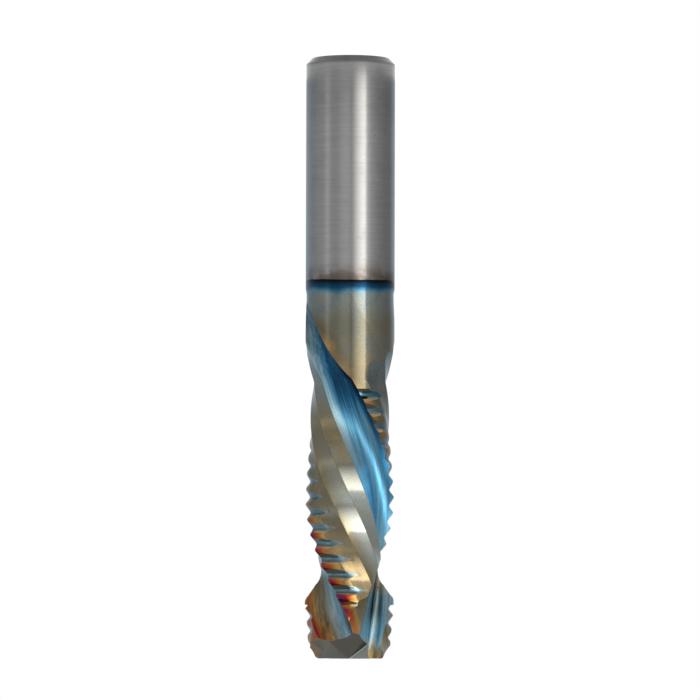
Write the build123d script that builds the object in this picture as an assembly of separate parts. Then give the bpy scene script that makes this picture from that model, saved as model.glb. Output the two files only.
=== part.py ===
"""Compression router bit, 16 mm: one ground carbide body with a plain shank.

The origin is the centre of the shank's end face and +Z points to the tip.  Two down-cut
teeth (left-hand helix) run from the neck to the tip, and two up-cut teeth (right-hand
helix) cross them over the last few millimetres.  Angles are in degrees about +Z.  The bit
turns towards the positive angles, so "ahead" of an edge is positive and "behind" negative.
"""
import os
from math import ceil, cos, degrees, exp, radians, sin, sqrt, tan

from build123d import *

# Blank, in millimetres
overall_length = 108.0
shank_diameter = 16.0
shank_length = 41.6
shank_chamfer = 1.1
cutting_diameter = 16.0
neck_relief = 0.17
neck_relief_steps = (1.0, 2.4, 5.4)

# Down-cut teeth; heights are measured from the shank's end face
down_helix = 30.0
down_edge_at_tip = -118.5
flute_full_height = 58.1
relief_full_height = 58.3
tooth_start_height = 59.9

# Up-cut teeth; depths are measured back from the tip
up_helix = 21.2
up_edge_at_tip = -137.7
up_flute_full_depth = 9.7
up_land_full_depth = 6.4
up_heel_full_depth = 9.0
down_flute_lift_depth = 13.0
back_relief_full_depth = 14.5

# Grinding wheels: how the flutes and the reliefs run out of the blank
wheel_radius = 36.5
flute_lift_angle = 27.0
flute_side_shift = 1.95
flute_side_shift_length = 3.6
relief_run_out_slope = 16.0
up_land_run_in_slope = 8.0
back_relief_exit_slope = 38.0

# Flute sections, as corners in the frame of their edge: out along the edge, then ahead of it
down_flute_root = (5.0, -0.35)
down_flute_bend = (3.35, 4.0)
down_flute_mouth = (2.1, 9.6)
down_root_radius = 1.3
tip_flute_bend = (2.72, 4.05)
tip_flute_mouth = (1.2, 9.6)
flute_opening_depths = (21.0, 15.0)
up_flute_root = (4.4, -0.35)
up_flute_mouth = (4.45, 9.6)
up_root_radius = 1.5

# Reliefs behind the edges.  A flat is the angle of its normal and its distance from the axis;
# a point of a curved land is its angle behind the edge and its drop below the cutting circle.
side_flat = (-49.5, 6.93)
back_flat = (-89.0, 6.26)
heel_flat = (-114.3, 5.95)
up_heel_flat = (-148.0, 5.98)
land_clearance = 0.01
land_middle = (15.0, 0.28)
land_end = (31.0, 0.67)
up_land_middle = (17.0, 0.28)
up_land_end = (39.0, 0.75)
up_land_back_angle = 125.0
up_heel_flat_width = 1.8

# Chip-breaking grooves across the lands
groove_floor_radius = 7.13
groove_floor_width = 0.55
groove_axis_shift = 0.31
groove_axis_angle = 60.0
groove_pitch = 2.8
groove_valley_share = 0.56
down_crest_depths = (10.85, 9.4)
down_groove_end_depth = 8.0
up_groove_pitch = 2.6
up_crest_depths = (10.4, 9.0)
up_groove_start_depth = 9.9
groove_reach_ahead = 24.0
groove_reach_behind = 66.0

# End of the tip
end_land_slope = 0.16
end_land_width = 0.35
end_relief_slope = 0.54
gash_slope_along = 0.568
gash_slope_across = 0.432

# Cutters: how far they reach past what they cut, and how often a helix gets a section
clear_share = 1.35
side_share = 1.04
lift_share = 1.02
groove_share = 1.006
over_run = 1.0
land_ahead_angle = 8.0
station_turn = 15.0

shank_radius = shank_diameter / 2
cutting_radius = cutting_diameter / 2
neck_radius = cutting_radius - neck_relief
tip = overall_length
clear_radius = clear_share * cutting_radius
down_twist = degrees(tan(radians(down_helix)) / cutting_radius)
up_twist = degrees(tan(radians(up_helix)) / cutting_radius)


def polar(radius, angle):
    """Point at a radius and an angle from the edge's own direction."""
    return (radius * cos(radians(angle)), radius * sin(radians(angle)))


def blend(first, second, share):
    """Point between two points."""
    return tuple(a + (b - a) * share for a, b in zip(first, second))


def down_edge(height):
    """Angle of the first down-cut edge at a height: left-hand helix."""
    return down_edge_at_tip + down_twist * (tip - height)


def up_edge(height):
    """Angle of the first up-cut edge at a height: right-hand helix."""
    return up_edge_at_tip - up_twist * (tip - height)


def grind(outline, edge_angle, start, stop, offset=lambda height: (0.0, 0.0)):
    """What one wheel removes: an outline carried along an edge's helix, moved by an offset."""
    turn = abs(edge_angle(stop) - edge_angle(start))
    steps = max(2, ceil(turn / station_turn))
    sections = []
    for step in range(steps + 1):
        height = start + (stop - start) * step / steps
        face = outline(height) if callable(outline) else outline
        sections.append(Pos(0, 0, height) * Rot(0, 0, edge_angle(height)) * Pos(*offset(height)) * face)
    return loft(sections)


def wheel_lift(distance):
    """Rise of a wheel's rim at a distance past its lowest point."""
    if distance <= 0:
        return 0.0
    return wheel_radius - sqrt(wheel_radius**2 - distance**2)


def run_out_length(depth):
    """Distance over which a wheel leaves a groove of a depth."""
    return sqrt(wheel_radius**2 - (wheel_radius - depth) ** 2)


def flute_outline(corners, root_radius):
    """Section of a flute: rake face from the edge, rounded root, floor, closed outside the blank."""
    root_x, root_y = corners[0]
    slope = -root_y / (cutting_radius - root_x)
    outside = (clear_radius, slope * (clear_radius - cutting_radius))
    path = FilletPolyline(outside, corners[0], corners[1], radius=root_radius)
    far_corner = (clear_radius, corners[-1][1])
    return make_face(path + Polyline(*corners[1:], far_corner, outside))


def flat_outline(normal_angle, distance, ahead_width, behind_width):
    """Section of a flat relief pass: a rectangle outside the flat."""
    block = Rectangle(
        clear_radius - distance,
        ahead_width + behind_width,
        align=(Align.MIN, Align.MIN),
    )
    return Rot(0, 0, normal_angle) * Pos(distance, -behind_width) * block


def blank():
    """Turned blank: chamfered shank, shallow ring of the neck, and cutting length."""
    relief_in, relief_full, relief_out = neck_relief_steps
    profile = Polyline(
        (0, 0),
        (shank_radius - shank_chamfer, 0),
        (shank_radius, shank_chamfer),
        (shank_radius, shank_length),
        (neck_radius, shank_length + relief_in),
        (neck_radius, shank_length + relief_full),
        (cutting_radius, shank_length + relief_out),
        (cutting_radius, tip),
        (0, tip),
        (0, 0),
    )
    return revolve(Plane.XZ * make_face(profile), Axis.Z)


def down_flute():
    """Left-hand flute: its run-out in the neck, then its length to the tip, where it widens."""
    opening_start = tip - flute_opening_depths[0]
    opening_length = flute_opening_depths[0] - flute_opening_depths[1]
    lift_height = tip - down_flute_lift_depth

    def outline(height):
        share = min(max((height - opening_start) / opening_length, 0.0), 1.0)
        bend = blend(down_flute_bend, tip_flute_bend, share)
        mouth = blend(down_flute_mouth, tip_flute_mouth, share)
        return flute_outline((down_flute_root, bend, mouth), down_root_radius)

    def leave_neck(height):
        distance = flute_full_height - height
        side = flute_side_shift * (1 - exp(-distance / flute_side_shift_length))
        return (wheel_lift(distance), side)

    def leave_tip(height):
        return polar(wheel_lift(height - lift_height), flute_lift_angle)

    depth = cutting_radius - down_flute_bend[0]
    start = flute_full_height - run_out_length(depth)
    return [
        grind(outline, down_edge, start, flute_full_height, leave_neck),
        grind(outline, down_edge, flute_full_height, tip + over_run, leave_tip),
    ]


def up_flute():
    """Right-hand flute of the tip, run out among the down-cut lands."""
    outline = flute_outline((up_flute_root, up_flute_mouth), up_root_radius)
    full_height = tip - up_flute_full_depth

    def leave_lands(height):
        return polar(wheel_lift(full_height - height), flute_lift_angle)

    start = full_height - run_out_length(cutting_radius - up_flute_root[0])
    return [grind(outline, up_edge, start, tip + over_run, leave_lands)]


def flat_passes(flat, edge_angle, start, stop, entry, leave, behind_width=None):
    """A flat relief with its straight run-in before start and run-out after stop."""
    normal_angle, distance = flat
    half_width = sqrt((side_share * cutting_radius) ** 2 - distance**2)
    outline = flat_outline(normal_angle, distance, half_width, behind_width or half_width)
    depth = lift_share * cutting_radius - distance
    passes = [grind(outline, edge_angle, start, stop)]
    if entry:
        rise = tan(radians(entry))
        passes.append(
            grind(outline, edge_angle, start - depth / rise, start,
                  lambda height: polar((start - height) * rise, normal_angle))
        )
    if leave:
        fall = tan(radians(leave))
        passes.append(
            grind(outline, edge_angle, stop, stop + depth / fall,
                  lambda height: polar((height - stop) * fall, normal_angle))
        )
    return passes


def land_outline(middle, end, back_angle, lift=0.0):
    """Section of the curved relief on a cutting land: an arc from the edge, then a round back."""
    edge_radius = cutting_radius - land_clearance + lift
    start = polar(edge_radius, 0)
    ahead = polar(lift_share * edge_radius, land_ahead_angle)
    middle_angle, middle_drop = middle
    end_angle, end_drop = end
    radius = cutting_radius - end_drop + lift
    last = polar(radius, -end_angle)
    curve = ThreePointArc(start, polar(cutting_radius - middle_drop + lift, -middle_angle), last)
    half_way = (back_angle + end_angle) / 2
    if back_angle > end_angle:
        back = polar(radius, -back_angle)
        curve = curve + ThreePointArc(last, polar(radius, -half_way), back)
        last = back
    half_way_radius = clear_radius / cos(radians((half_way + back_angle) / 4))
    outer = [
        last,
        polar(clear_radius, -back_angle),
        polar(half_way_radius, -half_way),
        polar(half_way_radius, -end_angle / 2),
        polar(clear_radius, land_ahead_angle),
        ahead,
        start,
    ]
    return make_face(curve + Polyline(*outer))


def down_reliefs():
    """Curved land and three flats behind a down-cut edge."""
    land = land_outline(land_middle, land_end, land_end[0])
    back_stop = tip - back_relief_full_depth
    entry = relief_run_out_slope
    leave = back_relief_exit_slope
    passes = [grind(land, down_edge, tooth_start_height, tip + over_run)]
    passes += flat_passes(side_flat, down_edge, relief_full_height, tip + over_run, entry, None)
    passes += flat_passes(back_flat, down_edge, relief_full_height, back_stop, entry, leave)
    passes += flat_passes(heel_flat, down_edge, relief_full_height, back_stop, entry, leave)
    return passes


def up_reliefs():
    """Curved land with its run-in, and heel flat, behind an up-cut edge."""
    full_height = tip - up_land_full_depth
    rise = tan(radians(up_land_run_in_slope))
    start = full_height - (up_land_end[1] + (lift_share - 1) * cutting_radius) / rise

    def land(height):
        return land_outline(up_land_middle, up_land_end, up_land_back_angle, (full_height - height) * rise)

    passes = [
        grind(land, up_edge, start, full_height),
        grind(land(full_height), up_edge, full_height, tip + over_run),
    ]
    heel_height = tip - up_heel_full_depth
    entry = relief_run_out_slope
    passes += flat_passes(up_heel_flat, up_edge, heel_height, tip + over_run, entry, None, up_heel_flat_width)
    return passes


def groove(crest, next_crest, valley, edge_angle):
    """One groove across a land: part of a ring about a shifted axis, a vee with a narrow floor."""
    lean = groove_axis_shift * cos(radians(groove_axis_angle))
    top = groove_share * cutting_radius - lean
    floor = groove_floor_radius - lean
    profile = Polyline(
        (top, crest),
        (floor, valley - groove_floor_width / 2),
        (floor, valley + groove_floor_width / 2),
        (top, next_crest),
        (clear_radius, next_crest),
        (clear_radius, crest),
        (top, crest),
    )
    turned = revolve(Plane.XZ * make_face(profile), Axis.Z, groove_reach_ahead + groove_reach_behind)
    shift = polar(groove_axis_shift, groove_axis_angle)
    return Rot(0, 0, edge_angle(valley)) * Pos(*shift) * Rot(0, 0, -groove_reach_behind) * turned


def grooves(edge_angle, pitch, last_crest, first_height, last_height):
    """Grooves along one edge, counted back from its last crest."""
    cutters = []
    crest = last_crest
    while crest + pitch <= last_height:
        crest += pitch
    valley_drop = (1 - groove_valley_share) * pitch
    while crest - valley_drop > first_height:
        cutters.append(groove(crest - pitch, crest, crest - valley_drop, edge_angle))
        crest -= pitch
    return cutters


def end_passes():
    """End relief with its narrow land, and the gash that opens the centre, for one side."""
    reach = 3 * cutting_radius
    passes = []
    for slope, offset in ((end_land_slope, 0.0), (end_relief_slope, end_land_width)):
        wedge = make_face(
            Polyline(
                (offset, tip),
                (reach, tip - slope * (reach - offset)),
                (reach, tip + reach),
                (offset, tip + reach),
                (offset, tip),
            )
        )
        passes.append(extrude(Plane.YZ * wedge, reach, both=True))
    normal = Vector(gash_slope_along, gash_slope_across, 1)
    gash = Plane((0, 0, tip), x_dir=(1, 0, -gash_slope_along), z_dir=normal) * Box(
        2 * reach, 2 * reach, reach, align=(Align.CENTER, Align.CENTER, Align.MIN)
    )
    front = Pos(0, 0, tip) * Box(2 * reach, reach, 2 * reach, align=(Align.CENTER, Align.MIN, Align.CENTER))
    passes.append(gash & front)
    return passes


def both_sides(cutters):
    """The same cutters for each of the two opposite teeth."""
    return [Rot(0, 0, turn) * cutter for turn in (0, 180) for cutter in cutters]


def all_grooves():
    """Grooves of the four edges; the second tooth's are half a pitch off the first's."""
    cutters = []
    for side, turn in enumerate((0, 180)):
        last = tip - down_crest_depths[side]
        end = tip - down_groove_end_depth
        ring = grooves(down_edge, groove_pitch, last, tooth_start_height, end)
        last = tip - up_crest_depths[side]
        ring += grooves(up_edge, up_groove_pitch, last, tip - up_groove_start_depth, tip)
        cutters += [Rot(0, 0, turn) * cutter for cutter in ring]
    return cutters


def router_bit():
    """The finished bit."""
    body = blank()
    body -= both_sides(down_flute())
    body -= both_sides(up_flute())
    body -= both_sides(down_reliefs())
    body -= both_sides(up_reliefs())
    body -= all_grooves()
    across = Rot(0, 0, up_edge_at_tip)
    body -= both_sides([across * cutter for cutter in end_passes()])
    return body


os.makedirs("parts", exist_ok=True)
bit = router_bit()
export_step(bit, "parts/router_bit.step")
print("solids", len(bit.solids()), "volume", round(bit.volume, 1), "valid", bit.is_valid)
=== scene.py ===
"""Looks of the compression router bit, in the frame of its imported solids.

The bit stands on its shank with +Z to the tip.  Sizes are in millimetres and angles in degrees
until a mesh is made.  The bit turns towards the positive angles, so the side ahead of an edge has
the larger angle.  Where a value is called behind, it is the angle behind an edge, counted positive.
"""
from math import cos, pi, radians, sin, tan

import bmesh
import bpy
import numpy as np
from mathutils import Matrix, Vector


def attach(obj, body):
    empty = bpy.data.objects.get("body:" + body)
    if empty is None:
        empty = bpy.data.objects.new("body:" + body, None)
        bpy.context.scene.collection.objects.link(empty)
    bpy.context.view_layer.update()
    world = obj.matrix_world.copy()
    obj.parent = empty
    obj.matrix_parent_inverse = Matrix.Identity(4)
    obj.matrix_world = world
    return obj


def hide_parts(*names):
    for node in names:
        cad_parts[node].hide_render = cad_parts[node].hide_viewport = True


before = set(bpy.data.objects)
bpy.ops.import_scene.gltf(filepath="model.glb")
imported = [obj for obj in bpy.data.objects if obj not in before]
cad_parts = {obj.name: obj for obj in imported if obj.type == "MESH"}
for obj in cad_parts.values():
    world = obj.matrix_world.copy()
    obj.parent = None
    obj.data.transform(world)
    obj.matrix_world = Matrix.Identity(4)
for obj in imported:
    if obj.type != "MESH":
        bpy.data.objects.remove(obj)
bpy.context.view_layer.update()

millimetre = 0.001

# Blank: the shank ends in a shallow ring, whose steps are heights above the shank
tip = 108.0
cutting_radius = 8.0
shank_radius = 8.0
shank_length = 41.6
shank_chamfer = 1.1
neck_relief = 0.17
neck_relief_steps = (1.0, 2.4, 5.4)
tooth_start = 59.9
over_tip = 109.2
cutter_top = 109.8
clear_radius = 11.0
cutter_reach = 16.0

# Edges: angle at the tip and turn per millimetre towards the shank; the down-cut helix is
# left-handed, the up-cut one right-handed
down_edge_at_tip = -118.5
down_twist = 4.135
up_edge_at_tip = -137.7
up_twist = -2.778

# Flutes, as corners of their sections out and ahead of the edge, and the wheel that grinds them
flute_full_height = 58.1
flute_lift_height = 95.0
flute_lift_angle = 27.0
flute_side_shift = 1.95
flute_side_length = 3.6
wheel_radius = 36.5
down_flute_corners = np.array(((5.0, -0.35), (3.35, 4.0), (2.1, 9.6)))
tip_flute_corners = np.array(((5.0, -0.35), (2.72, 4.05), (1.2, 9.6)))
flute_opening = (87.0, 93.0)
down_corner_reaches = (2.3, 1.4)
up_flute_corners = np.array(((4.4, -0.35), (4.45, 9.6)))
up_corner_reaches = (1.35,)
up_flute_full_height = 98.3
up_cutter_start = 82.4
up_cutter_front = 0.327

# Lands behind an edge: a drop has its start, slope and curve by angle, a flat the angle of its
# normal and its distance from the axis
relief_full_height = 58.3
relief_slope = tan(radians(16.0))
exit_height = 94.5
exit_slope = tan(radians(30.0))
down_land_drop = (0.01, 0.0149, 0.000206)
down_land_end = 36.0
side_flat = (49.5, 6.93)
back_flat = (85.5, 6.43)
heel_flat = (116.0, 5.95)
side_crease = 60.7
heel_crease = 92.6
up_land_drop = (0.01, 0.01349, 0.0001406)
up_land_end = 39.0
up_heel_flat = (148.0, 5.98)
up_land_reach = 164.5
up_land_full_height = 101.6
up_land_slope = tan(radians(8.0))
up_land_start_lift = 0.92
up_front_lift = 0.15
up_heel_full_height = 99.0
front_angle = 20.0

# Chip-breaking grooves: their reach is the angles behind the edge between which they run out
groove_vee_radius = 6.96
groove_vee_depth = 1.09
groove_shift = 0.31
groove_shift_angle = 60.0
groove_root = 0.275
groove_reach = (46.0, 52.0)
groove_run_out = 1.5
groove_front = -24.0
groove_deepest = 1.5
groove_long_share = 0.56
down_groove_pitch = 2.8
down_crests = (97.15, 98.6)
down_grooves_end = 99.9
up_groove_pitch = 2.6
up_crests = (105.4, 106.8)
up_grooves_start = 98.3
crest_softness = 0.16

# End of the tip: slopes of its two lands, and of the gash along and across the end's edge
end_land_slope = 0.16
end_relief_slope = 0.54
end_relief_start = 0.35
gash_slopes = (0.568, 0.432)
end_cutter_length = 20.0

# Camera, in metres but for its lens: its up is the bit's down, turned a little off the axis
camera_lens = 298.3
camera_place = Vector((0.0, -1.0414, 0.1097))
camera_aim = Vector((0.0, 0.0, 0.05257))
camera_up = Vector((0.0026, 0.0, -1.0))

# Studio, in metres
floor_radius = 0.04
floor_colour = (0.3, 0.3, 0.3, 1.0)
floor_glow = 0.9
world_light = 0.6
wall_radius = 0.75
wall_bottom = -0.45
wall_top = 0.65
ceiling_colour = (0.27, 0.26, 0.25, 1.0)
lamp_side = 0.3
lamp_power = 0.6
lamp_place = Vector((-0.25, -0.45, 0.5))
lamp_aim = Vector((0.0, 0.0, 0.06))

# Shade of the wall by azimuth in degrees, as a share of its strength
wall_strength = 3.3
wall_shades = (
    (-180.0, (0.15, 0.17, 0.19)),
    (-110.0, (0.155, 0.17, 0.19)),
    (-95.0, (0.18, 0.185, 0.19)),
    (-72.0, (0.21, 0.21, 0.215)),
    (-62.0, (0.31, 0.31, 0.31)),
    (-50.0, (0.20, 0.20, 0.205)),
    (-34.0, (0.20, 0.20, 0.20)),
    (-18.0, (0.275, 0.275, 0.275)),
    (-4.0, (0.275, 0.275, 0.275)),
    (3.0, (0.19, 0.185, 0.185)),
    (10.0, (0.36, 0.35, 0.345)),
    (22.0, (0.72, 0.69, 0.66)),
    (34.0, (1.0, 0.97, 0.92)),
    (40.0, (1.0, 0.97, 0.92)),
    (42.0, (0.38, 0.375, 0.37)),
    (56.0, (0.23, 0.23, 0.23)),
    (76.0, (0.16, 0.16, 0.16)),
    (100.0, (0.12, 0.12, 0.12)),
    (122.0, (0.105, 0.105, 0.105)),
    (145.0, (0.15, 0.17, 0.19)),
    (180.0, (0.15, 0.17, 0.19)),
)

# Coating: colour of the film from its thin edge, through blue, silver, olive and gold, to violet
film_colours = (
    (0.0, (0.008, 0.012, 0.022)),
    (0.1, (0.013, 0.034, 0.062)),
    (0.2, (0.013, 0.085, 0.175)),
    (0.3, (0.065, 0.215, 0.335)),
    (0.4, (0.19, 0.32, 0.38)),
    (0.5, (0.30, 0.33, 0.31)),
    (0.6, (0.215, 0.190, 0.120)),
    (0.7, (0.42, 0.26, 0.10)),
    (0.8, (0.40, 0.12, 0.03)),
    (0.9, (0.24, 0.02, 0.035)),
    (1.0, (0.10, 0.02, 0.13)),
)

# Folds that stay sharp: any over the first angle, and over the second where two surfaces meet
crease_angle = 32.0
meeting_angle = 3.0

# Mesh spacing
groove_row_step = 0.15
up_flute_row_step = 0.25
run_out_row_step = 0.3
land_columns = np.unique(np.concatenate([
    np.linspace(-34.0, 0.0, 7),
    np.linspace(0.0, 30.2, 14),
    np.linspace(30.2, side_crease, 14),
    np.linspace(side_crease, heel_crease, 12),
    np.linspace(heel_crease, 122.0, 12),
    np.linspace(122.0, 214.0, 20),
]))
up_land_columns = np.unique(np.concatenate([
    np.linspace(-8.0, 0.0, 3),
    np.linspace(0.0, up_land_end, 16),
    np.linspace(up_land_end, 113.6, 26),
    np.linspace(113.6, up_land_reach, 16),
]))
flute_samples = 240
flute_columns = 44
merge_distance = 2e-7
sliver_length = 1e-7

# Numbers of the surfaces, which are also those of their materials
LAND, FLUTE, SHANK, UP_FLUTE, UP_LAND, END = range(6)


def down_edge(height):
    """Angle of the first down-cut edge: it turns by a fixed angle per millimetre of height."""
    return down_edge_at_tip + down_twist * (tip - np.maximum(height, shank_length))


def up_edge(height):
    """Angle of the first up-cut edge."""
    return up_edge_at_tip + up_twist * (tip - height)


def wheel_lift(distance):
    """Rise of a wheel's rim past its lowest point: radius less the root of radius² less distance²."""
    reach = np.clip(distance, 0.0, 0.98 * wheel_radius)
    return wheel_radius - np.sqrt(wheel_radius**2 - reach**2)


def soft_least(first, second):
    """Smaller of two values, rounded where they meet: half their sum less a rounded half difference."""
    return (first + second - np.sqrt((first - second) ** 2 + crest_softness**2)) / 2


def flat_radius(behind, flat, lift):
    """Radius of a flat relief: its distance over the cosine of the angle from its normal."""
    normal, distance = flat
    cosine = np.cos(np.radians(behind - normal))
    return np.where(cosine > 0.5, (distance + lift) / np.maximum(cosine, 0.5), clear_radius)


def above_valley(height, crest, pitch):
    """Height above the nearest groove's valley: negative on its long slope, positive on the other."""
    valley = crest - (1.0 - groove_long_share) * pitch
    return np.mod(height - valley + groove_long_share * pitch, pitch) - groove_long_share * pitch


def groove_radius(behind, height, crest, pitch):
    """Radius of the ring grooves: a vee with a rounded root, about an axis shifted to the land's front.

    With v the height above the nearest valley, the vee is a + b·v + c·sqrt(v² + k²), and the
    shift adds its own length times the cosine of the angle from its direction.
    """
    above = above_valley(height, crest, pitch)
    long_slope = groove_vee_depth / (groove_long_share * pitch)
    steep_slope = groove_vee_depth / ((1.0 - groove_long_share) * pitch)
    vee = (steep_slope - long_slope) / 2 * above
    vee = vee + (steep_slope + long_slope) / 2 * np.sqrt(above**2 + groove_root**2)
    turned_to = np.cos(np.radians(behind + groove_shift_angle))
    lean = groove_shift * (turned_to - cos(radians(groove_shift_angle)))
    fade = np.clip((behind - groove_reach[0]) / (groove_reach[1] - groove_reach[0]), 0.0, 1.0)
    return groove_vee_radius + vee + lean + groove_run_out * fade**2


def down_land_parts(behind, height):
    """Radii behind a down-cut edge: of the blank with its land, then of side, back and heel flat."""
    ring = np.array((0.0, *neck_relief_steps)) + shank_length
    blank = cutting_radius - neck_relief * np.interp(height, ring, (0.0, 1.0, 0.9, 0.0))
    blank = np.minimum(blank, shank_radius - shank_chamfer + height)
    angle = np.clip(behind, 0.0, down_land_end)
    start, slope, curve = down_land_drop
    land = cutting_radius - start - slope * angle - curve * angle**2
    toothed = height >= tooth_start
    on_land = toothed & (behind >= 0.0) & (behind < down_land_end)
    radius = np.where(on_land, np.minimum(blank, land), blank)
    entry = np.maximum(relief_full_height - height, 0.0) * relief_slope
    leave = np.maximum(height - exit_height, 0.0) * exit_slope
    side = flat_radius(behind, side_flat, entry)
    back = flat_radius(behind, back_flat, entry + leave)
    heel = flat_radius(behind, heel_flat, entry + leave)
    return np.stack(np.broadcast_arrays(radius, side, back, heel))


def down_land_radius(behind, height, side):
    """Outer surface behind a down-cut edge: the least radius, then the grooves with rounded crests."""
    radius = down_land_parts(behind, height).min(axis=0)
    ring = groove_radius(behind, height, down_crests[side], down_groove_pitch)
    grooved = (height >= tooth_start) & (height < down_grooves_end) & (behind > groove_front)
    return np.where(grooved, soft_least(radius, ring), radius)


def up_land_parts(behind, height):
    """Radii behind an up-cut edge: of the curved land with its round back, then of the heel flat."""
    lift = np.maximum(up_land_full_height - height, 0.0) * up_land_slope
    heel_lift = np.maximum(up_heel_full_height - height, 0.0) * relief_slope
    angle = np.clip(behind, 0.0, up_land_end)
    start, slope, curve = up_land_drop
    radius = cutting_radius - start - slope * angle - curve * angle**2 + lift
    radius = np.where(behind < 0.0, cutting_radius + up_front_lift + lift, radius)
    return np.stack(np.broadcast_arrays(radius, flat_radius(behind, up_heel_flat, heel_lift)))


def up_land_radius(behind, height, side):
    """Outer surface behind an up-cut edge: the least radius, then the grooves with rounded crests."""
    radius = up_land_parts(behind, height).min(axis=0)
    ring = groove_radius(behind, height, up_crests[side], up_groove_pitch)
    grooved = (height > up_grooves_start) & (behind >= 0.0)
    return np.where(grooved, soft_least(radius, ring), radius)


def flute_path(corners, reaches):
    """Sections of a flute, one per row: straight runs joined by parabolas at the corners.

    corners has the shape (rows, corners, 2).  Each run has samples evenly spaced, and a corner's
    parabola is (1 - s)² p + 2 s (1 - s) c + s² q between points at its reach before and after it.
    """
    rows, count, _ = corners.shape
    slope = -corners[:, 0, 1] / (cutting_radius - corners[:, 0, 0])
    outside = np.stack([np.full(rows, clear_radius), slope * (clear_radius - cutting_radius)], axis=1)
    points = np.concatenate([outside[:, None], corners], axis=1)
    per_run = flute_samples // (2 * count)
    share = np.linspace(0.0, 1.0, per_run, endpoint=False)[None, :, None]
    pieces = []
    begin = points[:, 0]
    for number in range(1, count):
        corner = points[:, number]
        before = points[:, number - 1] - corner
        after = points[:, number + 1] - corner
        reach = reaches[number - 1]
        first = corner + before / np.linalg.norm(before, axis=1, keepdims=True) * reach
        last = corner + after / np.linalg.norm(after, axis=1, keepdims=True) * reach
        pieces.append(begin[:, None] + (first - begin)[:, None] * share)
        curve = (1 - share) ** 2 * first[:, None] + 2 * share * (1 - share) * corner[:, None]
        pieces.append(curve + share**2 * last[:, None])
        begin = last
    pieces.append(begin[:, None] + (points[:, -1] - begin)[:, None] * share)
    return np.concatenate(pieces + [points[:, -1:]], axis=1)


def polar(radius, angle):
    """Points (…, 2) at a radius and an angle in degrees."""
    return np.stack([radius * np.cos(np.radians(angle)), radius * np.sin(np.radians(angle))], axis=-1)


def direction(points):
    """Angles of points about the axis, in degrees."""
    return np.degrees(np.arctan2(points[..., 1], points[..., 0]))


def turned(points, angle):
    """Points (…, 2) turned about the axis by angles, one per row."""
    cosine = np.cos(np.radians(angle))[:, None]
    sine = np.sin(np.radians(angle))[:, None]
    x, y = points[..., 0], points[..., 1]
    return np.stack([x * cosine - y * sine, x * sine + y * cosine], axis=-1)


def sample(path, position):
    """Points of a path at fractional sample numbers, by straight interpolation."""
    low = np.clip(np.floor(position).astype(int), 0, path.shape[1] - 2)
    part = (position - low)[..., None]
    rows = np.arange(path.shape[0])[:, None]
    return path[rows, low] * (1 - part) + path[rows, low + 1] * part


def crossing(inside_depth, first):
    """Fractional sample where a path first enters or last leaves the solid, where depth is positive."""
    inside = inside_depth > 0.0
    found = inside.any(axis=1)
    count = inside.shape[1]
    rows = np.arange(inside.shape[0])
    if first:
        index = np.argmax(inside, axis=1)
        other = np.maximum(index - 1, 0)
    else:
        index = count - 1 - np.argmax(inside[:, ::-1], axis=1)
        other = np.minimum(index + 1, count - 1)
    here, there = inside_depth[rows, index], inside_depth[rows, other]
    share = np.where(here == there, 0.0, here / np.where(here == there, 1.0, here - there))
    position = index + (other - index) * share
    return np.where(found, position, np.argmax(inside_depth, axis=1).astype(float))


def main_section(heights):
    """Rings of the bit without its up-cut end: per tooth, the flute from edge to heel, then the land.

    A ring's points are clipped where the flute's path crosses the land, so edge and heel are exact.
    """
    share = np.clip((heights - flute_opening[0]) / (flute_opening[1] - flute_opening[0]), 0.0, 1.0)
    opening = (tip_flute_corners - down_flute_corners)[None] * share[:, None, None]
    corners = down_flute_corners[None] + opening
    path = flute_path(corners, down_corner_reaches)
    below = np.maximum(flute_full_height - heights, 0.0)
    side_shift = flute_side_shift * (1 - np.exp(-below / flute_side_length))
    lift = polar(wheel_lift(heights - flute_lift_height), flute_lift_angle)
    path = path + (np.stack([wheel_lift(below), side_shift], axis=1) + lift)[:, None]
    radius = np.hypot(path[..., 0], path[..., 1])
    ahead = direction(path)
    column = np.linspace(0.0, path.shape[1] - 1.0, flute_columns)[None]
    height = heights[:, None]
    ring = []
    for side in (0, 1):
        near = down_land_radius(-ahead, height, side) - radius
        far = down_land_radius(180.0 - ahead, height, 1 - side) - radius
        enter = crossing(near, True)
        leave = crossing(far, False)
        crossed = (near > 0).any(axis=1) & (far > 0).any(axis=1)
        opened = crossed & (heights > shank_length) & (leave > enter)
        leave = np.where(opened, leave, enter)
        place = np.clip(column, enter[:, None], leave[:, None])
        place[:, 0] = enter
        place[:, -1] = leave
        flute = sample(path, place)
        first = np.argmax(opened)
        angle = direction(flute[first, 0])
        closed = polar(down_land_radius(np.full_like(heights, -angle), heights, side), angle)
        opened = opened | (np.arange(len(heights)) > first)
        flute = np.where(opened[:, None, None], flute, closed[:, None])
        ring.append(flute)
    rings = []
    for side in (0, 1):
        flute = ring[side]
        next_flute = ring[1 - side]
        turn = down_edge(heights) + 180.0 * side
        rings.append(turned(flute, turn))
        heel_angle = 180.0 - direction(flute[:, -1])
        edge_angle = -direction(next_flute[:, 0])
        behind = land_columns[::-1][None]
        clipped = np.clip(behind, edge_angle[:, None], heel_angle[:, None])
        land = polar(down_land_radius(clipped, height, 1 - side), -clipped)
        heel = turned(flute[:, -1:], np.full(len(heights), -180.0))
        land = np.where((behind >= heel_angle[:, None])[..., None], heel, land)
        land = np.where((behind <= edge_angle[:, None])[..., None], next_flute[:, :1], land)
        rings.append(turned(land, turn + 180.0))
    return np.concatenate(rings, axis=1)


def placed(name, data):
    """New object in the scene."""
    item = bpy.data.objects.new(name, data)
    bpy.context.scene.collection.objects.link(item)
    return item


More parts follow.
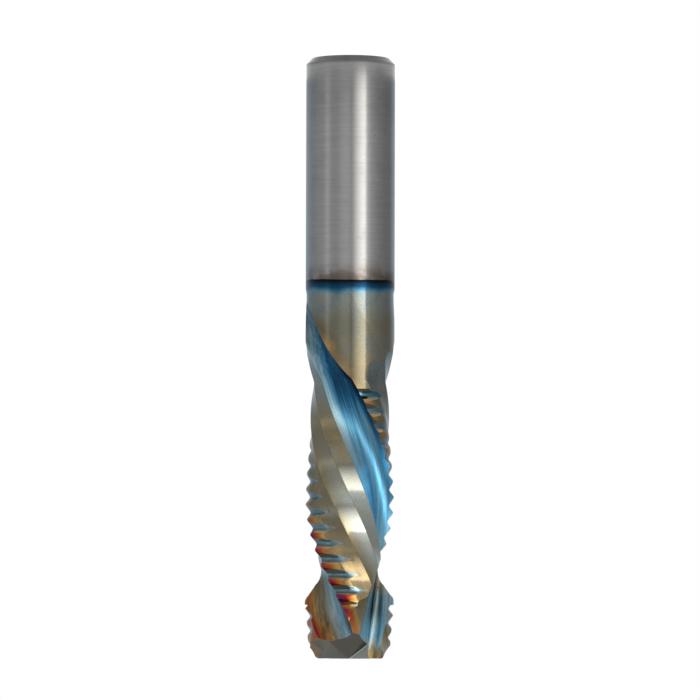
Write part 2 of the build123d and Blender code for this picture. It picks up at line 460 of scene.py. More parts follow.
def shell(name, rings, heights, kinds, shank_rows=0):
    """Closed mesh of quads between rings, with a face over each end.

    kinds are the columns' surfaces, but the first shank_rows rows are all the shank's.
    """
    rows, columns, _ = rings.shape
    places = np.insert(rings, 2, heights[:, None], axis=-1)
    index = np.arange(rows * columns).reshape(rows, columns)
    after = np.roll(index, -1, axis=1)
    quads = np.stack([index[:-1], after[:-1], after[1:], index[1:]], axis=-1)
    surface = np.broadcast_to(kinds, (rows - 1, columns)).copy()
    surface[:shank_rows] = SHANK
    mesh = bpy.data.meshes.new(name)
    faces = quads.reshape(-1, 4).tolist() + [index[0][::-1].tolist(), index[-1].tolist()]
    mesh.from_pydata((places.reshape(-1, 3) * millimetre).tolist(), [], faces)
    ends = [SHANK if shank_rows else surface[0, 0], surface[-1, 0]]
    surfaces = np.concatenate([surface.ravel(), ends]).astype(np.int32)
    mesh.polygons.foreach_set("material_index", surfaces)
    work = bmesh.new()
    work.from_mesh(mesh)
    bmesh.ops.remove_doubles(work, verts=work.verts, dist=merge_distance)
    bmesh.ops.dissolve_degenerate(work, edges=work.edges, dist=sliver_length)
    work.to_mesh(mesh)
    work.free()
    return placed(name, mesh)


def main_body():
    """Shank, neck and down-cut teeth as one closed mesh, a little longer than the bit."""
    shank_rows = np.concatenate([[0.0, 0.55, shank_chamfer], np.linspace(1.3, shank_length, 40)])
    neck_rows = np.arange(shank_length + 0.1, tooth_start - 0.03, run_out_row_step)
    tooth_rows = np.arange(tooth_start + 0.02, over_tip, groove_row_step)
    # Two rows close together make the step where the teeth start
    heights = np.concatenate([shank_rows, neck_rows, [tooth_start - 0.03], tooth_rows])
    rings = main_section(heights)
    kinds = np.concatenate([np.full(flute_columns, FLUTE), np.full(len(land_columns), LAND)])
    kinds = np.tile(kinds, 2)
    kinds[flute_columns - 1] = LAND
    kinds[flute_columns * 2 + len(land_columns) - 1] = LAND
    return shell("router_bit_body", rings, heights, kinds, len(shank_rows))


def up_flute_cutter(side):
    """What the wheel of an up-cut flute removes: its section carried along the right-hand helix."""
    heights = np.arange(up_cutter_start, cutter_top, up_flute_row_step)
    corners = np.broadcast_to(up_flute_corners, (len(heights), 2, 2))
    path = flute_path(corners, up_corner_reaches)[:, ::2]
    lift = wheel_lift(up_flute_full_height - heights)
    shift = polar(lift, flute_lift_angle)
    far = np.tile([[cutter_reach, up_flute_corners[-1, 1]]], (len(heights), 1))[:, None]
    near = np.tile([[cutter_reach, up_cutter_front]], (len(heights), 1))[:, None]
    outline = np.concatenate([path, far, near], axis=1) + shift[:, None]
    rings = turned(outline[:, ::-1], up_edge(heights) + 180.0 * side)
    return shell("up_flute_cutter", rings, heights, np.full(outline.shape[1], UP_FLUTE))


def up_land_cutter(side):
    """What is ground off behind an up-cut edge: everything from the land's surface outwards."""
    start = up_land_full_height - up_land_start_lift / up_land_slope
    heights = np.arange(start, cutter_top, groove_row_step * 0.8)
    behind = up_land_columns[None]
    inner = polar(up_land_radius(behind, heights[:, None], side), -behind)
    outer = polar(clear_radius, -behind[:, ::4][:, ::-1])
    outer = np.broadcast_to(outer, (len(heights),) + outer.shape[1:])
    outline = np.concatenate([inner, outer], axis=1)
    rings = turned(outline, up_edge(heights) + 180.0 * side)
    return shell("up_land_cutter", rings, heights, np.full(outline.shape[1], UP_LAND))


def prism(name, profile, reach, turn):
    """Profile (across, height) carried straight along the end's edge, then turned with that edge."""
    count = len(profile)
    along = np.repeat([-reach, reach], count)
    across = np.tile(profile[:, 0], 2)
    height = np.tile(profile[:, 1], 2)
    return solid_from_corners(name, along, across, height, count, turn)


def solid_from_corners(name, along, across, height, count, turn):
    """Closed mesh between two outlines of count corners each, in the frame of the end's edge."""
    angle = radians(turn)
    x = along * cos(angle) - across * sin(angle)
    y = along * sin(angle) + across * cos(angle)
    first = np.arange(count)
    after = np.roll(first, -1)
    sides = np.stack([first, after, after + count, first + count], axis=1)[:, ::-1]
    faces = sides.tolist() + [first.tolist(), (first + count)[::-1].tolist()]
    mesh = bpy.data.meshes.new(name)
    mesh.from_pydata((np.stack([x, y, height], axis=1) * millimetre).tolist(), [], faces)
    mesh.polygons.foreach_set("material_index", np.full(len(faces), END, dtype=np.int32))
    work = bmesh.new()
    work.from_mesh(mesh)
    bmesh.ops.recalc_face_normals(work, faces=work.faces)
    work.to_mesh(mesh)
    work.free()
    return placed(name, mesh)


def roof_cutter():
    """What is above the end's two lands: on each side of the edge one slope, then a steeper one."""
    reach = end_cutter_length
    meet = end_relief_slope * end_relief_start / (end_relief_slope - end_land_slope)
    far = tip - end_relief_slope * (reach - end_relief_start)
    bend = tip - end_land_slope * meet
    above = tip + reach
    profile = np.array([
        (-reach, far), (-meet, bend), (0.0, tip), (meet, bend), (reach, far),
        (reach, above), (-reach, above),
    ])
    return prism("roof_cutter", profile, reach, up_edge_at_tip)


def gash_cutter(side):
    """What the gash opens in front of an end edge: above a plane that falls along and across."""
    reach = end_cutter_length
    along = np.array([-reach, reach, reach, -reach])
    slope_along, slope_across = gash_slopes
    near = np.concatenate([tip - slope_along * along[:2], [tip + reach] * 2])
    far = np.concatenate([tip - slope_along * along[:2] - slope_across * reach, [tip + reach] * 2])
    across = np.repeat([0.0, reach], 4)
    height = np.concatenate([near, far])
    turn = up_edge_at_tip + 180.0 * side
    return solid_from_corners("gash_cutter", np.tile(along, 2), across, height, 4, turn)


def cut(body, cutter):
    """Takes a cutter away from the body for good; the new faces keep the cutter's surface number."""
    modifier = body.modifiers.new("cut", "BOOLEAN")
    modifier.operation = "DIFFERENCE"
    modifier.solver = "EXACT"
    modifier.object = cutter
    modifier.material_mode = "INDEX"
    evaluated = body.evaluated_get(bpy.context.evaluated_depsgraph_get())
    result = bpy.data.meshes.new_from_object(evaluated)
    body.modifiers.clear()
    body.data = result
    bpy.data.objects.remove(cutter)


def build_bit():
    """The whole bit: the main body less the up-cut flutes and lands and the passes on the end."""
    body = main_body()
    for _ in range(END + 1):
        body.data.materials.append(None)
    for side in (0, 1):
        cut(body, up_flute_cutter(side))
    for side in (0, 1):
        cut(body, up_land_cutter(side))
    cut(body, roof_cutter())
    for side in (0, 1):
        cut(body, gash_cutter(side))
    return body


def read(items, name, width, kind=np.float64):
    """One field of a mesh's items as a whole array."""
    values = np.empty(len(items) * width, dtype=kind)
    items.foreach_get(name, values)
    return values.reshape(-1, width) if width > 1 else values


def behind_edge(angle, edge, turn=180.0):
    """Angle behind the last edge passed, from a little in front of it; edges are a turn apart."""
    return np.mod(front_angle - angle + edge, turn) - front_angle


def add_marks(body):
    """Gives each face corner its place on the tool, for the materials.

    helix is the corner's place in the frame of its own edge: out towards it, ahead of it, and
    height.  behind is the angle behind that edge, depth how far it lies below the land without
    its grooves, radius its distance from the axis, and valley the height above the nearest
    groove's valley.  down_behind is the angle behind the down-cut edge, on the up-cut lands too.
    """
    mesh = body.data
    vertex = read(mesh.loops, "vertex_index", 1, np.int32)
    places = read(mesh.vertices, "co", 3)[vertex] / millimetre
    kinds = read(mesh.polygons, "material_index", 1, np.int32)
    kind = np.repeat(kinds, read(mesh.polygons, "loop_total", 1, np.int32))
    height = places[:, 2]
    radius = np.hypot(places[:, 0], places[:, 1])
    angle = direction(places)
    up = (kind == UP_FLUTE) | (kind == UP_LAND)
    edge = np.where(up, up_edge(height), down_edge(height))
    is_land = (kind == LAND) | (kind == UP_LAND) | (kind == SHANK)
    behind = behind_edge(angle, edge)
    ahead = np.where(is_land, -behind, behind_edge(-angle, -edge))
    up_plain = up_land_parts(behind, height).min(axis=0)
    plain = np.where(up, up_plain, down_land_parts(behind, height).min(axis=0))
    depth = np.where(is_land, np.clip(plain - radius, 0.0, groove_deepest), 0.0)
    second = (behind_edge(angle, edge, 360.0) >= 180.0 - front_angle).astype(int)
    crest = np.where(up, np.array(up_crests)[second], np.array(down_crests)[second])
    valley = above_valley(height, crest, np.where(up, up_groove_pitch, down_groove_pitch))
    down_behind = behind_edge(angle, down_edge(height))
    helix = np.insert(polar(radius, ahead), 2, height, axis=1).astype(np.float32)
    mesh.attributes.new("helix", "FLOAT_VECTOR", "CORNER").data.foreach_set("vector", helix.ravel())
    marks = {
        "behind": -ahead, "depth": depth, "radius": radius, "valley": valley,
        "down_behind": down_behind,
    }
    for name, values in marks.items():
        attribute = mesh.attributes.new(name, "FLOAT", "CORNER")
        attribute.data.foreach_set("value", values.astype(np.float32))


def add_creases(body):
    """Marks sharp edges: folds over the crease angle, and smaller ones where two surfaces meet."""
    mesh = body.data
    mesh.shade_smooth()
    centre = read(mesh.polygons, "center", 3) / millimetre
    normal = read(mesh.polygons, "normal", 3)
    kind = read(mesh.polygons, "material_index", 1, np.int32)
    size = read(mesh.polygons, "loop_total", 1, np.int32)
    height = centre[:, 2]
    angle = direction(centre)
    down_part = down_land_parts(behind_edge(angle, down_edge(height)), height).argmin(axis=0)
    up_part = up_land_parts(behind_edge(angle, up_edge(height)), height).argmin(axis=0)
    part = np.where(kind == LAND, down_part, np.where(kind == UP_LAND, up_part, 0))
    ground = kind * 4 + part
    edge_of_corner = read(mesh.loops, "edge_index", 1, np.int32)
    face_of_corner = np.repeat(np.arange(len(kind)), size)
    order = np.argsort(edge_of_corner, kind="stable")
    count = np.bincount(edge_of_corner, minlength=len(mesh.edges))
    first = np.concatenate([[0], np.cumsum(count)[:-1]])
    one = face_of_corner[order[first]]
    other = face_of_corner[order[first + count - 1]]
    cosine = (normal[one] * normal[other]).sum(axis=1)
    meeting = (ground[one] != ground[other]) & (cosine < cos(radians(meeting_angle)))
    sharp = meeting | (cosine < cos(radians(crease_angle)))
    mesh.edges.foreach_set("use_edge_sharp", sharp)


def add_camera():
    """Camera at the photograph's angle, rolled by half a turn because the tip hangs down there."""
    data = bpy.data.cameras.new("camera")
    data.sensor_width = 36.0
    data.lens = camera_lens
    data.clip_end = 50.0
    camera = placed("camera", data)
    forward = (camera_aim - camera_place).normalized()
    right = forward.cross(camera_up).normalized()
    up = right.cross(forward)
    turn = Matrix((right, up, -forward)).transposed().to_4x4()
    camera.matrix_world = Matrix.Translation(camera_place) @ turn
    bpy.context.scene.camera = camera


def seen_rays(tree):
    """1 on rays from the camera, mirrors and glass, which see the white background; 0 on the rest."""
    rays = add_node(tree, "ShaderNodeLightPath", {}).outputs
    seen = worked("MAXIMUM", rays["Is Camera Ray"], rays["Is Glossy Ray"])
    return worked("MAXIMUM", seen, rays["Is Transmission Ray"])


def add_world():
    """White background; its light on the object is a plain grey."""
    world = bpy.data.worlds.new("studio")
    bpy.context.scene.world = world
    world.use_nodes = True
    tree = world.node_tree
    background = tree.nodes["Background"]
    background.inputs["Color"].default_value = (1.0, 1.0, 1.0, 1.0)
    inputs = {"Value": seen_rays(tree), "To Min": world_light, "To Max": 1.0}
    strength = fed_node("ShaderNodeMapRange", inputs)
    tree.links.new(strength.outputs[0], background.inputs["Strength"])


def disc(radii, spokes, height):
    """Points of a flat disc of rings, and the quads between the rings."""
    ring = polar(radii[:, None], np.linspace(0.0, 360.0, spokes, endpoint=False))
    places = np.insert(ring, 2, height, axis=-1).reshape(-1, 3)
    index = np.arange(len(places)).reshape(len(radii), -1)
    after = np.roll(index, -1, axis=1)
    quads = np.stack([index[:-1], index[1:], after[1:], after[:-1]], axis=-1)
    return places, quads.reshape(-1, 4).tolist()


def stage_surface(name, places, faces):
    """Studio surface that glows: its object, its material's tree and its glow."""
    mesh = bpy.data.meshes.new(name)
    mesh.from_pydata(places.tolist(), [], faces)
    surface = placed(name, mesh)
    material = bpy.data.materials.new(name)
    material.use_nodes = True
    tree = material.node_tree
    tree.nodes.clear()
    glow = add_node(tree, "ShaderNodeEmission", {})
    add_node(tree, "ShaderNodeOutputMaterial", {"Surface": glow.outputs[0]})
    mesh.materials.append(material)
    return surface, tree, glow


def add_floor():
    """Pale floor for the object's shadow: a small disc of rings, closer together near the bit."""
    spokes = 96
    places, quads = disc(floor_radius * np.linspace(0.03, 1.0, 24) ** 2, spokes, 0.0)
    _, tree, glow = stage_surface("floor", places, quads + [list(range(spokes))])
    tree.links.new(product(seen_rays(tree), floor_glow), glow.inputs["Strength"])
    plain = add_node(tree, "ShaderNodeBsdfDiffuse", {"Color": floor_colour})
    both = fed_node("ShaderNodeAddShader", {0: plain.outputs[0], 1: glow.outputs[0]})
    tree.links.new(both.outputs[0], tree.nodes["Material Output"].inputs["Surface"])


def add_wall():
    """Studio wall round the bit: a cylinder whose shade changes with the azimuth.

    Azimuth 0 is towards the camera and grows to the photograph's right.  One soft window stands at
    20 to 41 degrees, and the rest is grey.
    """
    azimuth = np.linspace(-pi, pi, 97)
    x = np.tile(-wall_radius * np.sin(azimuth), 2)
    y = np.tile(-wall_radius * np.cos(azimuth), 2)
    z = np.repeat([wall_bottom, wall_top], len(azimuth))
    index = np.arange(2 * len(azimuth)).reshape(2, -1)
    quads = np.stack([index[0, :-1], index[0, 1:], index[1, 1:], index[1, :-1]], axis=-1).tolist()
    wall, tree, glow = stage_surface("studio_wall", np.stack([x, y, z], axis=1), quads)
    wall.visible_camera = False
    spot = add_node(tree, "ShaderNodeTexCoord", {}).outputs["Object"]
    spot = fed_node("ShaderNodeSeparateXYZ", {0: spot})
    turn = worked("ARCTAN2", product(spot.outputs[0], -1.0), product(spot.outputs[1], -1.0))
    share = worked("MULTIPLY_ADD", turn, 0.5 / pi, 0.5)
    shade = colour_ramp(share, [((azimuth + 180.0) / 360.0, tint) for azimuth, tint in wall_shades])
    tree.links.new(shade, glow.inputs["Color"])
    glow.inputs["Strength"].default_value = wall_strength


def add_ceiling():
    """Dark ceiling over the wall: a flat disc that the faces towards the tip reflect."""
    places, quads = disc(np.array([0.02, wall_radius]), 48, wall_top)
    ceiling, _, glow = stage_surface("studio_ceiling", places, quads)
    ceiling.visible_camera = False
    glow.inputs["Color"].default_value = ceiling_colour


def add_lamp():
    """Soft lamp over the camera's side: a square of light that faces the bit."""
    data = bpy.data.lights.new("soft_lamp", "AREA")
    data.shape = "SQUARE"
    data.size = lamp_side
    data.energy = lamp_power
    lamp = placed("soft_lamp", data)
    lamp.location = lamp_place
    lamp.rotation_euler = (lamp_aim - lamp_place).to_track_quat("-Z", "Y").to_euler()


def add_node(tree, kind, inputs, **settings):
    """A node with its settings; inputs gives its sockets numbers, colours or other nodes' outputs."""
    node = tree.nodes.new(kind)
    for name, value in settings.items():
        setattr(node, name, value)
    for socket, value in inputs.items():
        if isinstance(value, bpy.types.NodeSocket):
            tree.links.new(value, node.inputs[socket])
        else:
            node.inputs[socket].default_value = value
    return node


def fed_node(kind, inputs, **settings):
    """A node in the same tree as the outputs that feed it."""
    tree = next(value.id_data for value in inputs.values() if isinstance(value, bpy.types.NodeSocket))
    return add_node(tree, kind, inputs, **settings)


def worked(operation, first, second=0.0, third=0.0):
    """Result of a sum on up to three values."""
    return fed_node("ShaderNodeMath", {0: first, 1: second, 2: third}, operation=operation).outputs[0]


def total(*values):
    """All values added up."""
    result = values[0]
    for value in values[1:]:
        result = worked("ADD", result, value)
    return result


def product(*values):
    """All values multiplied."""
    result = values[0]
    for value in values[1:]:
        result = worked("MULTIPLY", result, value)
    return result


def rise(value, low, high, start=0.0, stop=1.0):
    """Smooth change from start to stop while the value goes from low to high."""
    inputs = {"Value": value, "From Min": low, "From Max": high, "To Min": start, "To Max": stop}
    return fed_node("ShaderNodeMapRange", inputs, interpolation_type="SMOOTHSTEP").outputs[0]


def blended(share, first, second):
    """First value where share is 0, second where it is 1."""
    return fed_node("ShaderNodeMix", {0: share, 2: first, 3: second}).outputs[0]


def blended_colour(share, first, second):
    """First colour where share is 0, second where it is 1."""
    return fed_node("ShaderNodeMix", {0: share, 6: first, 7: second}, data_type="RGBA").outputs[2]


def colour_ramp(value, stops):
    """Colour that changes evenly between stops of a place and a colour."""
    node = fed_node("ShaderNodeValToRGB", {0: value})
    elements = node.color_ramp.elements
    elements[0].position, elements[0].color = stops[0][0], (*stops[0][1], 1.0)
    elements[1].position, elements[1].color = stops[-1][0], (*stops[-1][1], 1.0)
    for place, tint in stops[1:-1]:
        elements.new(place).color = (*tint, 1.0)
    return node.outputs[0]


def noise(place, scale, detail=3.0, stretch=(1.0, 1.0, 1.0)):
    """Noise about 0, from about -0.5 to 0.5; scale is its waves per millimetre."""
    squeezed = fed_node("ShaderNodeVectorMath", {0: place, 1: stretch}, operation="MULTIPLY").outputs[0]
    inputs = {"Vector": squeezed, "Scale": scale, "Detail": detail}
    value = fed_node("ShaderNodeTexNoise", inputs).outputs[0]
    return worked("SUBTRACT", value, 0.5)


def new_group(name, inputs, outputs):
    """Empty shader node group with named sockets: its tree, what comes in and what goes out."""
    tree = bpy.data.node_groups.new(name, "ShaderNodeTree")
    for way, sockets in (("INPUT", inputs), ("OUTPUT", outputs)):
        for title, kind in sockets.items():
            tree.interface.new_socket(title, in_out=way, socket_type="NodeSocket" + kind)
    entry = tree.nodes.new("NodeGroupInput")
    leave = tree.nodes.new("NodeGroupOutput")
    return tree, entry.outputs, leave.inputs


def coating_colour_group():
    """Colour of the coating's film by its thickness, times a shade."""
    inputs = {"Film": "Float", "Shade": "Float"}
    tree, entry, leave = new_group("coating_colour", inputs, {"Color": "Color"})
    tint = colour_ramp(entry["Film"], film_colours)
    shaded = fed_node("ShaderNodeVectorMath", {0: tint, "Scale": entry["Shade"]}, operation="SCALE")
    tree.links.new(shaded.outputs[0], leave["Color"])
    return tree


def grinding_group():
    """Marks of the wheel: coarse and fine streaks along the third axis of the place."""
    outputs = {"Streak": "Float", "Height": "Float"}
    tree, entry, leave = new_group("grinding_marks", {"Place": "Vector"}, outputs)
    coarse = noise(entry["Place"], 1.1, 2.0, (1.0, 1.0, 0.05))
    fine = noise(entry["Place"], 5.0, 3.0, (1.0, 1.0, 0.03))
    streak = worked("MULTIPLY_ADD", fine, 0.8, coarse)
    tree.links.new(streak, leave["Streak"])
    tree.links.new(fine, leave["Height"])
    return tree


def wear_group():
    """Clouds of stain about 0, and small dark and bright specks from 0 to 1."""
    outputs = {"Cloud": "Float", "Dark Speck": "Float", "Bright Speck": "Float"}
    tree, entry, leave = new_group("coating_wear", {"Place": "Vector"}, outputs)
    cloud = noise(entry["Place"], 0.28, 4.0)
    dark = rise(noise(entry["Place"], 2.6, 2.0), 0.17, 0.24)
    bright = rise(noise(entry["Place"], 3.4, 1.0), 0.2, 0.26)
    tree.links.new(cloud, leave["Cloud"])
    tree.links.new(dark, leave["Dark Speck"])
    tree.links.new(bright, leave["Bright Speck"])
    return tree


class Finish:
    """One metal finish of the bit: its material, and the places on the tool that its nodes read.

    spot is the place on the bit and across its x, in millimetres; out, ahead and height are the
    parts of helix, the place in the frame of its own edge.
    """

    def __init__(self, name, roughness):
        self.material = bpy.data.materials.new(name)
        self.material.use_nodes = True
        self.tree = self.material.node_tree
        self.shader = self.tree.nodes["Principled BSDF"]
        self.shader.inputs["Metallic"].default_value = 1.0
        spot = add_node(self.tree, "ShaderNodeTexCoord", {}).outputs["Object"]
        inputs = {0: spot, "Scale": 1.0 / millimetre}
        self.spot = fed_node("ShaderNodeVectorMath", inputs, operation="SCALE").outputs[0]
        self.across = fed_node("ShaderNodeSeparateXYZ", {0: self.spot}).outputs[0]
        self.helix = self.mark("helix").outputs["Vector"]
        self.out, self.ahead, self.height = fed_node("ShaderNodeSeparateXYZ", {0: self.helix}).outputs
        names = ("behind", "depth", "radius", "valley", "down_behind")
        marks = [self.mark(name).outputs["Fac"] for name in names]
        self.behind, self.depth, self.radius, self.valley, self.down_behind = marks
        grinding = fed_node("ShaderNodeGroup", {"Place": self.helix}, node_tree=grinding_marks)
        self.streak, self.mark_height = grinding.outputs
        wear = fed_node("ShaderNodeGroup", {"Place": self.spot}, node_tree=coating_wear)
        self.cloud, self.dark_speck, self.bright_speck = wear.outputs
        worn = worked("MULTIPLY_ADD", self.cloud, 0.16, roughness)
        self.tree.links.new(worn, self.shader.inputs["Roughness"])

    def mark(self, name):
        """Node that reads one of the mesh's marks."""
        return add_node(self.tree, "ShaderNodeAttribute", {}, attribute_name=name)

    def coat(self, film, shade):
        """Colour of the coating by film and shade, with its specks."""
        spots = product(self.dark_speck, -0.3)
        spots = worked("MULTIPLY_ADD", self.bright_speck, 0.4, spots)
        spots = worked("MULTIPLY_ADD", noise(self.spot, 4.5, 2.0), 0.45, spots)
        shade = product(shade, total(spots, 1.0))
        inputs = {"Film": film, "Shade": shade}
        return fed_node("ShaderNodeGroup", inputs, node_tree=coating_colour).outputs[0]

    def groove(self):
        """Share of a groove's floor at a place, and of that floor's side towards the tip, which gets
        painted shade.
        """
        floor = product(rise(self.valley, -1.05, -0.6), rise(self.valley, 0.4, 0.7, 1.0, 0.0))
        floor = product(floor, rise(self.depth, 0.03, 0.14))
        return floor, product(floor, rise(self.valley, -0.1, 0.3))

    def painted(self, colour, height, distance):
        """The material with its colour, and with the fine relief of its marks, in millimetres."""
        self.tree.links.new(colour, self.shader.inputs["Base Color"])
        bump = fed_node("ShaderNodeBump", {"Distance": distance * millimetre, "Height": height})
        self.tree.links.new(bump.outputs[0], self.shader.inputs["Normal"])
        return self.material

    def coated(self, film, shade, distance):
        """The material with its coating and the wheel's marks."""
        return self.painted(self.coat(film, shade), self.mark_height, distance)


def neck_film(spot, height):
    """Film on the neck: it thickens with the height over the slightly wavy edge of the coating."""
    wave = noise(spot, 0.14, 2.0)
    level = worked("MULTIPLY_ADD", wave, 1.6, height)
    start = rise(level, 40.3, 41.0, 0.02, 0.11)
    blue = rise(level, 40.9, 43.4, 0.0, 0.38)
    olive = rise(level, 42.7, 49.0, 0.0, 0.08)
    gold = rise(level, 53.5, 59.5, 0.0, 0.025)
    return total(start, blue, olive, gold)


def land_finish():
    """Neck and down-cut lands: olive, blue by the coating's end, orange to crimson by the edge."""
    finish = Finish("coated_land", 0.1)
    height = finish.height
    film = neck_film(finish.spot, height)
    fringe = product(rise(finish.behind, -14.0, 16.0, 0.09, 0.0), rise(height, 45.0, 51.0))
    by_edge = rise(finish.behind, 0.0, 38.0, 1.0, 0.0)
    heat = total(rise(height, 59.5, 60.3, 0.0, 0.1), rise(height, 79.0, 86.0, 0.0, 0.18))
    heat = total(heat, rise(height, 93.0, 98.5, 0.0, 0.12))
    silver = product(rise(finish.behind, 58.0, 90.0, 0.0, -0.09), rise(height, 70.0, 79.0))
    film = total(film, fringe, product(by_edge, heat), product(finish.cloud, 0.12), silver)
    for crease in (side_crease, heel_crease):
        off_crease = worked("ABSOLUTE", worked("SUBTRACT", finish.behind, crease))
        line = product(rise(off_crease, 0.4, 1.8, 0.035, 0.0), rise(height, 62.0, 66.0))
        film = total(film, line)
    # Painted highlight on the side flat near the tip: a little gold in the film and a lighter shade.
    side_flat_highlight = product(rise(finish.behind, 26.0, 36.0), rise(finish.behind, 58.0, 61.0, 1.0, 0.0))
    side_flat_highlight = product(side_flat_highlight, rise(height, 87.0, 91.0))
    film = worked("MULTIPLY_ADD", side_flat_highlight, 0.03, film)
    grooved, shaded_side = finish.groove()
    pale = product(grooved, rise(height, 96.8, 97.8, 1.0, 0.0))
    film = blended(pale, film, worked("MULTIPLY_ADD", by_edge, 0.03, 0.4))
    film = worked("MULTIPLY_ADD", worked("SUBTRACT", grooved, pale), -0.2, film)
    sunk = product(rise(finish.radius, 7.9, 7.96, 1.0, 0.0), rise(height, 48.5, 49.5))
    sunk = product(sunk, rise(height, 57.0, 65.0, 1.0, 0.0))
    film = worked("MULTIPLY_ADD", sunk, -0.12, film)
    # Painted highlight: the back and heel flats lighter from 72 to 88 mm up.
    bright = product(rise(finish.behind, 59.0, 64.0), rise(height, 72.0, 88.0, 0.1, 0.7))
    shade = total(rise(height, 42.0, 60.0, 0.66, 0.85), product(finish.cloud, 0.55), bright)
    shade = worked("MULTIPLY_ADD", side_flat_highlight, 0.45, shade)
    # Painted shade in the grooves: their side towards the tip darker, and their floors darker where
    # they are pale.
    painted_groove_shade = product(shaded_side, rise(height, 60.0, 70.0, -0.18, -0.38))
    shade = total(shade, product(pale, -0.2), painted_groove_shade)
    shade = worked("MULTIPLY_ADD", sunk, -0.22, shade)
    return finish.coated(film, shade, 0.002)


def flute_finish():
    """Down-cut flutes: deep blue by the edge, paler towards the heel, gold and orange at the tip."""
    finish = Finish("coated_flute", 0.34)
    height = finish.height
    deep = rise(finish.ahead, 1.6, 6.2, 0.15, 0.42)
    bright = rise(finish.ahead, 1.6, 6.2, 0.32, 0.44)
    film = blended(rise(height, 58.0, 67.0), deep, bright)
    fringe = product(rise(finish.ahead, 5.4, 6.6, 0.0, 0.12), rise(height, 60.0, 66.0))
    pale = rise(height, 80.0, 92.0, 0.0, 0.08)
    gold = product(rise(height, 91.5, 95.5), rise(finish.ahead, 1.5, 4.6, 0.0, 0.13))
    orange = product(rise(height, 99.0, 103.5), rise(finish.ahead, 1.5, 5.5, 0.0, 0.13))
    streaks = product(finish.streak, rise(height, 89.0, 94.0, 0.2, 0.1))
    film = total(film, fringe, pale, gold, orange, streaks)
    tip_dark = product(rise(height, 91.0, 94.0), rise(finish.ahead, 1.5, 4.5, -1.1, -1.5))
    # Painted reflection: the flutes lighter from 66 to 82 mm up, for the soft window they mirror.
    shade = total(rise(height, 44.0, 59.0, 0.42, 1.0), rise(height, 66.0, 82.0, 0.0, 1.05))
    shade = total(shade, tip_dark, rise(height, 97.0, 102.0, 0.0, -0.12), product(finish.streak, 0.9))
    return finish.coated(film, shade, 0.008)


def up_flute_finish():
    """Up-cut flutes: blue with a dark band by the heel, gold to red at the end."""
    finish = Finish("coated_up_flute", 0.52)
    height = finish.height
    band = rise(finish.ahead, 3.4, 5.6, 0.0, -0.08)
    silver = rise(height, 95.0, 97.0, 0.16, 0.0)
    tip_gold = rise(height, 103.5, 107.8, 0.0, 0.25)
    film = total(band, silver, tip_gold, product(finish.streak, 0.3), 0.385)
    # Painted shade: the concave corner darker, dimming its reflection of the window.
    corner = product(rise(finish.ahead, 0.6, 2.0, -0.7, 0.0), rise(finish.out, 5.4, 6.4, 1.0, 0.0))
    corner = product(corner, rise(height, 99.0, 103.0, 1.0, 0.3))
    by_heel = total(rise(finish.ahead, 3.0, 5.6, 1.1, 0.42), rise(height, 99.0, 104.0, 0.0, 0.45))
    shade = total(product(finish.streak, 1.3), by_heel, corner, rise(height, 92.5, 96.0, 0.45, -0.08))
    return finish.coated(film, shade, 0.008)


def up_land_finish():
    """Up-cut lands: olive, orange to crimson on the crests by the edge, pale in the grooves."""
    finish = Finish("coated_up_land", 0.2)
    by_edge = rise(finish.behind, 0.0, 45.0, 0.24, 0.0)
    by_down_edge = rise(finish.down_behind, 2.0, 22.0, 0.36, 0.0)
    by_down_edge = product(by_down_edge, rise(finish.height, 95.0, 98.0))
    by_down_edge = product(by_down_edge, rise(finish.height, 98.0, 103.0, 1.0, 0.45))
    left = product(rise(finish.across, 2.5, 6.0, 0.0, 0.2), rise(finish.height, 97.0, 103.0))
    film = total(by_edge, by_down_edge, left, product(finish.cloud, 0.1), 0.6)
    grooved, shaded_side = finish.groove()
    film = blended(grooved, film, worked("MULTIPLY_ADD", by_edge, 0.2, 0.46))
    # Painted shade on the grooves' side towards the tip.
    shade = total(product(finish.cloud, 0.5), product(shaded_side, -0.3), 0.95)
    return finish.coated(film, shade, 0.002)


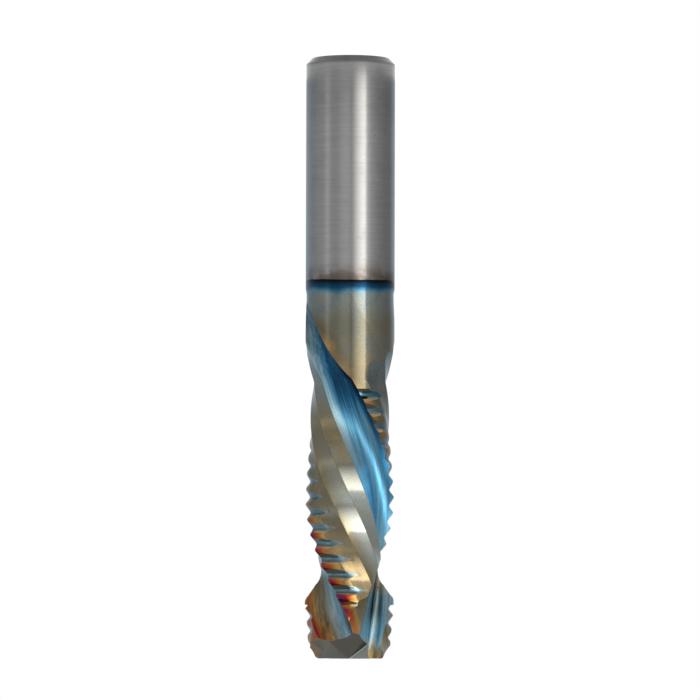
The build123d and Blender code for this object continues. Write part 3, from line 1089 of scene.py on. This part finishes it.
def end_finish():
    """Facets of the end: grey olive, orange to violet at the corners, a painted highlight along the end
    edge.
    """
    finish = Finish("coated_end", 0.22)
    corner = rise(finish.radius, 6.3, 8.0, 0.0, 0.34)
    film = total(corner, product(finish.cloud, 0.14), 0.54)
    spot = fed_node("ShaderNodeSeparateXYZ", {0: finish.spot})
    cosine, sine = cos(radians(up_edge_at_tip)), sin(radians(up_edge_at_tip))
    across = worked("MULTIPLY_ADD", spot.outputs[1], cosine, product(spot.outputs[0], -sine))
    along = worked("MULTIPLY_ADD", spot.outputs[1], sine, product(spot.outputs[0], cosine))
    gash_depth = product(worked("ABSOLUTE", along), gash_slopes[0])
    above_gash = worked("ABSOLUTE", total(finish.height, gash_depth, -tip))
    # Painted highlight: a thin silver band along the end edge with a much lighter shade.
    edge_highlight = rise(worked("ABSOLUTE", across), 0.1, 0.2, 1.0, 0.0)
    edge_highlight = product(edge_highlight, rise(above_gash, 0.08, 0.2, 1.0, 0.0))
    film = blended(edge_highlight, film, 0.5)
    shade = total(product(finish.cloud, 0.5), product(edge_highlight, 1.2), 1.05)
    return finish.coated(film, shade, 0.002)


def shank_finish():
    """Bare ground shank with rings, stains and specks, up to the coating's dark edge."""
    finish = Finish("ground_carbide", 0.19)
    rings = noise(finish.spot, 2.0, 3.0, (0.06, 0.06, 1.4))
    stain = rise(finish.cloud, -0.05, 0.25)
    brown = product(rise(finish.height, 36.5, 40.3), rise(finish.cloud, -0.16, 0.06, 0.25, 1.0))
    by_end = rise(finish.height, 0.0, 16.0, -0.07, 0.0)
    by_end = total(rise(finish.height, 1.0, 1.6, -0.12, 0.0), by_end)
    tone = total(product(rings, 0.07), product(stain, -0.028), by_end, 0.3)
    tone = worked("MULTIPLY_ADD", finish.dark_speck, -0.07, tone)
    grey = fed_node("ShaderNodeCombineColor", {0: tone, 1: tone, 2: tone}).outputs[0]
    stained = blended_colour(brown, grey, (0.13, 0.105, 0.085, 1.0))
    wave = noise(finish.spot, 0.14, 2.0)
    level = worked("MULTIPLY_ADD", wave, 1.6, finish.height)
    coated = rise(level, 40.35, 40.5)
    film = neck_film(finish.spot, finish.height)
    coating = finish.coat(film, rise(level, 40.4, 41.3, 0.25, 0.72))
    return finish.painted(blended_colour(coated, stained, coating), rings, 0.002)


coating_colour = coating_colour_group()
grinding_marks = grinding_group()
coating_wear = wear_group()

bit = build_bit()
add_marks(bit)
finishes = (
    land_finish(), flute_finish(), shank_finish(), up_flute_finish(), up_land_finish(), end_finish(),
)
for number, finish in enumerate(finishes):
    bit.data.materials[number] = finish
add_creases(bit)
bit.name = "coated_router_bit"
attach(bit, "root")
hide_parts("router_bit")

add_camera()
add_floor()
add_world()
add_wall()
add_ceiling()
add_lamp()
bpy.context.scene.view_settings.view_transform = "Standard"
